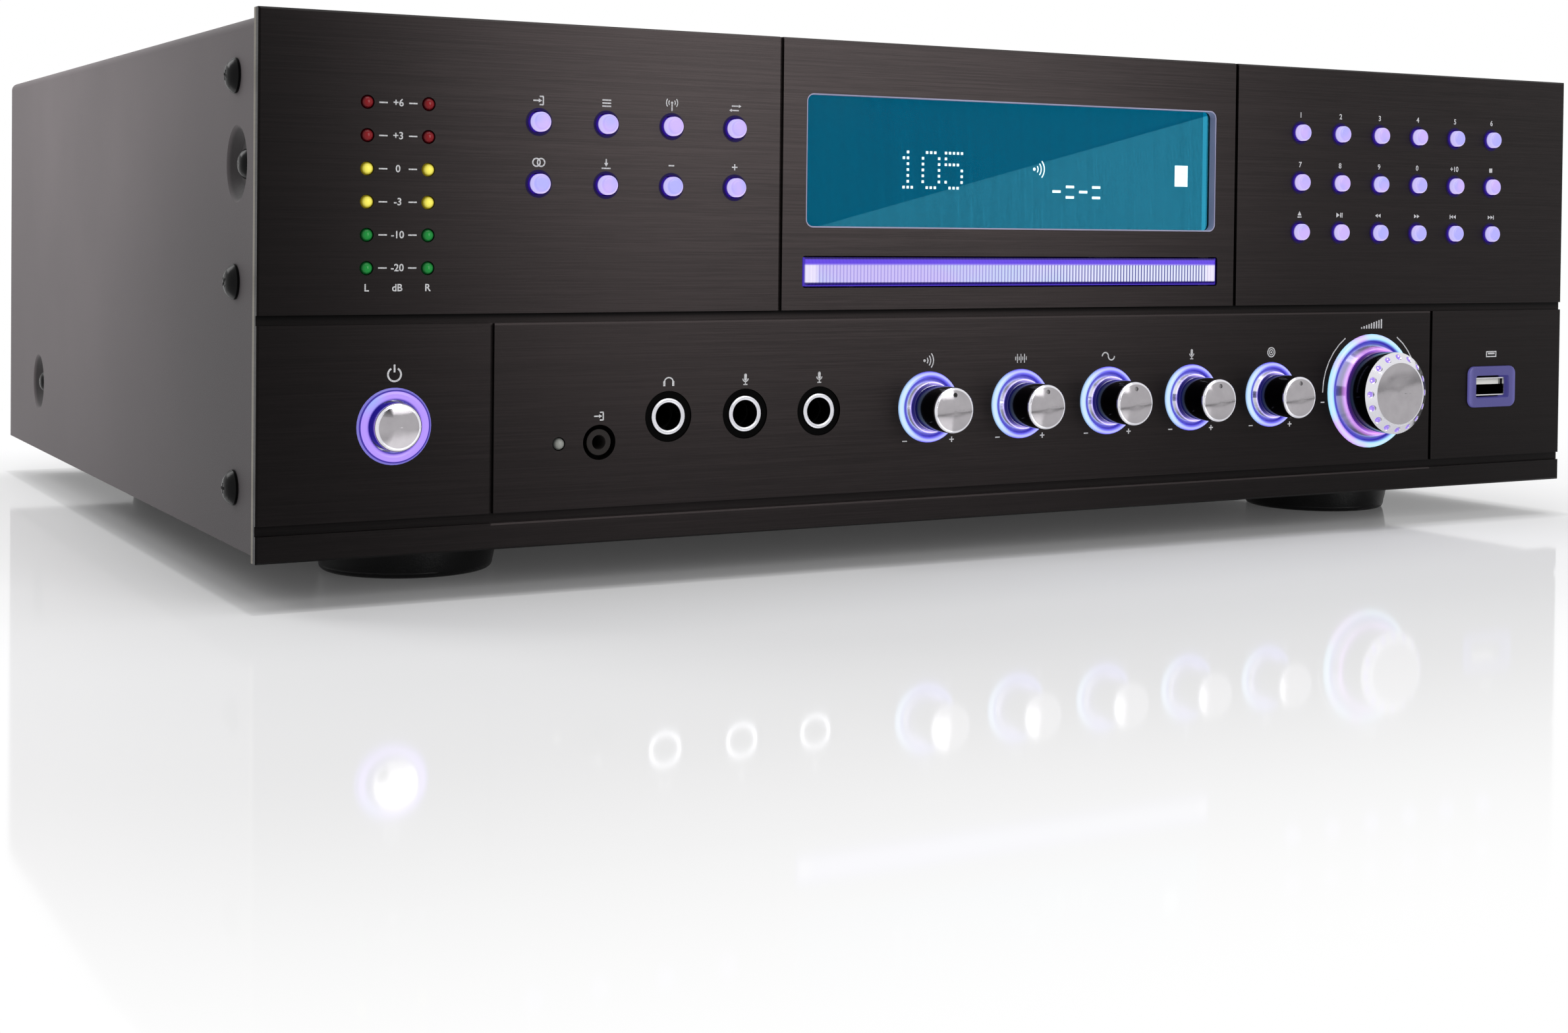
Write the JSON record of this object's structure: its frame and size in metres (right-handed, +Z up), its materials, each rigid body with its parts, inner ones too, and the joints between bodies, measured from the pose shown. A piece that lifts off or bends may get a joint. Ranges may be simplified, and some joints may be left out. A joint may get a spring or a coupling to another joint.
{
  "type": "stereo amplifier with disc tray",
  "caption": "Full-width hi-fi amplifier with a disc tray, blue display, level lamps, lit push buttons, plated rotary knobs and front sockets in a black brushed panel.",
  "frame": {"origin": "on the surface that the feet stand on, below the middle of the object's box", "axes": "+X to the right as seen from the front, -Y the way the front panel faces, +Z up"},
  "size_m": [0.4354, 0.3556, 0.1415],
  "materials": {
    "panel_black": "black anodised, brushed along its width",
    "cover_paint": "matt warm grey paint",
    "chassis_steel": "dark grey paint",
    "foot_plastic": "moulded, satin",
    "screw_black": "glossy black",
    "window_clear": "clear",
    "display_blue": "lit blue glass",
    "lamp_lens": "coloured clear lenses",
    "ring_clear": "frosted and lit from behind",
    "plated_trim": "satin plated",
    "socket_black": "moulded, semi-gloss",
    "usb_steel": "bright steel",
    "circuit_board": "green lacquer",
    "control_steel": "plated steel",
    "loader_plastic": "moulded",
    "tray_plastic": "moulded, fine grain",
    "bar_clear": "clear, ribbed and lit",
    "gear_plastic": "natural white",
    "winding_copper": "enamelled wire",
    "sink_aluminium": "plain extrusion",
    "fan_plastic": "moulded",
    "phono_plated": "gold plated",
    "terminal_plastic": "red and black caps",
    "inlet_plastic": "moulded",
    "button_lit": "milky and lit"
  },
  "bodies": {
    "case": {"front_panel": "panel_black", "top_cover": "cover_paint", "chassis": "chassis_steel", "feet": "foot_plastic", "case_screws": "screw_black", "display_window": "window_clear", "display_module": "display_blue", "level_leds": "lamp_lens", "light_rings": "ring_clear", "trim_rings": "plated_trim", "jack_sockets": "socket_black", "usb_socket": "usb_steel", "control_boards": "circuit_board", "rotary_controls": "control_steel", "disc_loader": "loader_plastic", "main_board": "circuit_board", "transformer": "winding_copper", "heat_sink": "sink_aluminium", "fan_frame": "fan_plastic", "phono_jacks": "phono_plated", "speaker_terminals": "terminal_plastic", "mains_inlet": "inlet_plastic"},
    "tray": {"disc_tray": "tray_plastic", "tray_front": "bar_clear"},
    "pinion": {"drive_pinion": "gear_plastic"},
    "turntable": {"turntable": "loader_plastic"},
    "fan": {"fan_rotor": "fan_plastic"},
    "power_button": {"power_button": "plated_trim"},
    "master_knob": {"master_knob": "plated_trim"},
    "echo_knob": {"echo_knob": "plated_trim"},
    "treble_knob": {"treble_knob": "plated_trim"},
    "bass_knob": {"bass_knob": "plated_trim"},
    "microphone_knob": {"microphone_knob": "plated_trim"},
    "subwoofer_knob": {"subwoofer_knob": "plated_trim"},
    "selector_button_1": {"selector_button_1": "button_lit"},
    "selector_button_2": {"selector_button_2": "button_lit"},
    "selector_button_3": {"selector_button_3": "button_lit"},
    "selector_button_4": {"selector_button_4": "button_lit"},
    "selector_button_5": {"selector_button_5": "button_lit"},
    "selector_button_6": {"selector_button_6": "button_lit"},
    "selector_button_7": {"selector_button_7": "button_lit"},
    "selector_button_8": {"selector_button_8": "button_lit"},
    "keypad_button_1": {"keypad_button_1": "button_lit"},
    "keypad_button_2": {"keypad_button_2": "button_lit"},
    "keypad_button_3": {"keypad_button_3": "button_lit"},
    "keypad_button_4": {"keypad_button_4": "button_lit"},
    "keypad_button_5": {"keypad_button_5": "button_lit"},
    "keypad_button_6": {"keypad_button_6": "button_lit"},
    "keypad_button_7": {"keypad_button_7": "button_lit"},
    "keypad_button_8": {"keypad_button_8": "button_lit"},
    "keypad_button_9": {"keypad_button_9": "button_lit"},
    "keypad_button_10": {"keypad_button_10": "button_lit"},
    "keypad_button_11": {"keypad_button_11": "button_lit"},
    "keypad_button_12": {"keypad_button_12": "button_lit"},
    "keypad_button_13": {"keypad_button_13": "button_lit"},
    "keypad_button_14": {"keypad_button_14": "button_lit"},
    "keypad_button_15": {"keypad_button_15": "button_lit"},
    "keypad_button_16": {"keypad_button_16": "button_lit"},
    "keypad_button_17": {"keypad_button_17": "button_lit"},
    "keypad_button_18": {"keypad_button_18": "button_lit"}
  },
  "joints": [
    {"name": "tray_slide", "type": "slide", "parent": "case", "child": "tray", "axis": [0, -1, 0], "range_m": [0, 0.135]},
    {"name": "pinion_turn", "type": "hinge", "parent": "case", "child": "pinion", "pos_m": [-0.036, -0.1422, 0.0765], "axis": [0, 0, 1], "range_deg": [0, 650]},
    {"name": "turntable_spin", "type": "hinge", "parent": "case", "child": "turntable", "pos_m": [0, -0.0944, 0.07535], "axis": [0, 0, 1], "continuous": true},
    {"name": "fan_spin", "type": "hinge", "parent": "case", "child": "fan", "pos_m": [-0.06, 0.1596, 0.0733], "axis": [0, 1, 0], "continuous": true},
    {"name": "power_press", "type": "slide", "parent": "case", "child": "power_button", "axis": [0, 1, 0], "range_m": [0, 0.003], "stiffness_N_per_m": 700},
    {"name": "master_turn", "type": "hinge", "parent": "case", "child": "master_knob", "pos_m": [0.13171, -0.1642, 0.04275], "axis": [0, 1, 0], "continuous": true},
    {"name": "echo_turn", "type": "hinge", "parent": "case", "child": "echo_knob", "pos_m": [-0.03021, -0.1642, 0.04275], "axis": [0, 1, 0], "range_deg": [-150, 150]},
    {"name": "treble_turn", "type": "hinge", "parent": "case", "child": "treble_knob", "pos_m": [0.00021, -0.1642, 0.04275], "axis": [0, 1, 0], "range_deg": [-150, 150]},
    {"name": "bass_turn", "type": "hinge", "parent": "case", "child": "bass_knob", "pos_m": [0.03064, -0.1642, 0.04275], "axis": [0, 1, 0], "range_deg": [-150, 150]},
    {"name": "microphone_turn", "type": "hinge", "parent": "case", "child": "microphone_knob", "pos_m": [0.06106, -0.1642, 0.04275], "axis": [0, 1, 0], "range_deg": [-150, 150]},
    {"name": "subwoofer_turn", "type": "hinge", "parent": "case", "child": "subwoofer_knob", "pos_m": [0.09148, -0.1642, 0.04275], "axis": [0, 1, 0], "range_deg": [-150, 150]},
    {"name": "selector_press_1", "type": "slide", "parent": "case", "child": "selector_button_1", "axis": [0, 1, 0], "range_m": [0, 0.0008], "stiffness_N_per_m": 900},
    {"name": "selector_press_2", "type": "slide", "parent": "case", "child": "selector_button_2", "axis": [0, 1, 0], "range_m": [0, 0.0008], "stiffness_N_per_m": 900},
    {"name": "selector_press_3", "type": "slide", "parent": "case", "child": "selector_button_3", "axis": [0, 1, 0], "range_m": [0, 0.0008], "stiffness_N_per_m": 900},
    {"name": "selector_press_4", "type": "slide", "parent": "case", "child": "selector_button_4", "axis": [0, 1, 0], "range_m": [0, 0.0008], "stiffness_N_per_m": 900},
    {"name": "selector_press_5", "type": "slide", "parent": "case", "child": "selector_button_5", "axis": [0, 1, 0], "range_m": [0, 0.0008], "stiffness_N_per_m": 900},
    {"name": "selector_press_6", "type": "slide", "parent": "case", "child": "selector_button_6", "axis": [0, 1, 0], "range_m": [0, 0.0008], "stiffness_N_per_m": 900},
    {"name": "selector_press_7", "type": "slide", "parent": "case", "child": "selector_button_7", "axis": [0, 1, 0], "range_m": [0, 0.0008], "stiffness_N_per_m": 900},
    {"name": "selector_press_8", "type": "slide", "parent": "case", "child": "selector_button_8", "axis": [0, 1, 0], "range_m": [0, 0.0008], "stiffness_N_per_m": 900},
    {"name": "keypad_press_1", "type": "slide", "parent": "case", "child": "keypad_button_1", "axis": [0, 1, 0], "range_m": [0, 0.0008], "stiffness_N_per_m": 900},
    {"name": "keypad_press_2", "type": "slide", "parent": "case", "child": "keypad_button_2", "axis": [0, 1, 0], "range_m": [0, 0.0008], "stiffness_N_per_m": 900},
    {"name": "keypad_press_3", "type": "slide", "parent": "case", "child": "keypad_button_3", "axis": [0, 1, 0], "range_m": [0, 0.0008], "stiffness_N_per_m": 900},
    {"name": "keypad_press_4", "type": "slide", "parent": "case", "child": "keypad_button_4", "axis": [0, 1, 0], "range_m": [0, 0.0008], "stiffness_N_per_m": 900},
    {"name": "keypad_press_5", "type": "slide", "parent": "case", "child": "keypad_button_5", "axis": [0, 1, 0], "range_m": [0, 0.0008], "stiffness_N_per_m": 900},
    {"name": "keypad_press_6", "type": "slide", "parent": "case", "child": "keypad_button_6", "axis": [0, 1, 0], "range_m": [0, 0.0008], "stiffness_N_per_m": 900},
    {"name": "keypad_press_7", "type": "slide", "parent": "case", "child": "keypad_button_7", "axis": [0, 1, 0], "range_m": [0, 0.0008], "stiffness_N_per_m": 900},
    {"name": "keypad_press_8", "type": "slide", "parent": "case", "child": "keypad_button_8", "axis": [0, 1, 0], "range_m": [0, 0.0008], "stiffness_N_per_m": 900},
    {"name": "keypad_press_9", "type": "slide", "parent": "case", "child": "keypad_button_9", "axis": [0, 1, 0], "range_m": [0, 0.0008], "stiffness_N_per_m": 900},
    {"name": "keypad_press_10", "type": "slide", "parent": "case", "child": "keypad_button_10", "axis": [0, 1, 0], "range_m": [0, 0.0008], "stiffness_N_per_m": 900},
    {"name": "keypad_press_11", "type": "slide", "parent": "case", "child": "keypad_button_11", "axis": [0, 1, 0], "range_m": [0, 0.0008], "stiffness_N_per_m": 900},
    {"name": "keypad_press_12", "type": "slide", "parent": "case", "child": "keypad_button_12", "axis": [0, 1, 0], "range_m": [0, 0.0008], "stiffness_N_per_m": 900},
    {"name": "keypad_press_13", "type": "slide", "parent": "case", "child": "keypad_button_13", "axis": [0, 1, 0], "range_m": [0, 0.0008], "stiffness_N_per_m": 900},
    {"name": "keypad_press_14", "type": "slide", "parent": "case", "child": "keypad_button_14", "axis": [0, 1, 0], "range_m": [0, 0.0008], "stiffness_N_per_m": 900},
    {"name": "keypad_press_15", "type": "slide", "parent": "case", "child": "keypad_button_15", "axis": [0, 1, 0], "range_m": [0, 0.0008], "stiffness_N_per_m": 900},
    {"name": "keypad_press_16", "type": "slide", "parent": "case", "child": "keypad_button_16", "axis": [0, 1, 0], "range_m": [0, 0.0008], "stiffness_N_per_m": 900},
    {"name": "keypad_press_17", "type": "slide", "parent": "case", "child": "keypad_button_17", "axis": [0, 1, 0], "range_m": [0, 0.0008], "stiffness_N_per_m": 900},
    {"name": "keypad_press_18", "type": "slide", "parent": "case", "child": "keypad_button_18", "axis": [0, 1, 0], "range_m": [0, 0.0008], "stiffness_N_per_m": 900}
  ],
  "couplings": [
    {"joint": "pinion_turn", "follows": "tray_slide", "rad_per_m": 83.333}
  ]
}
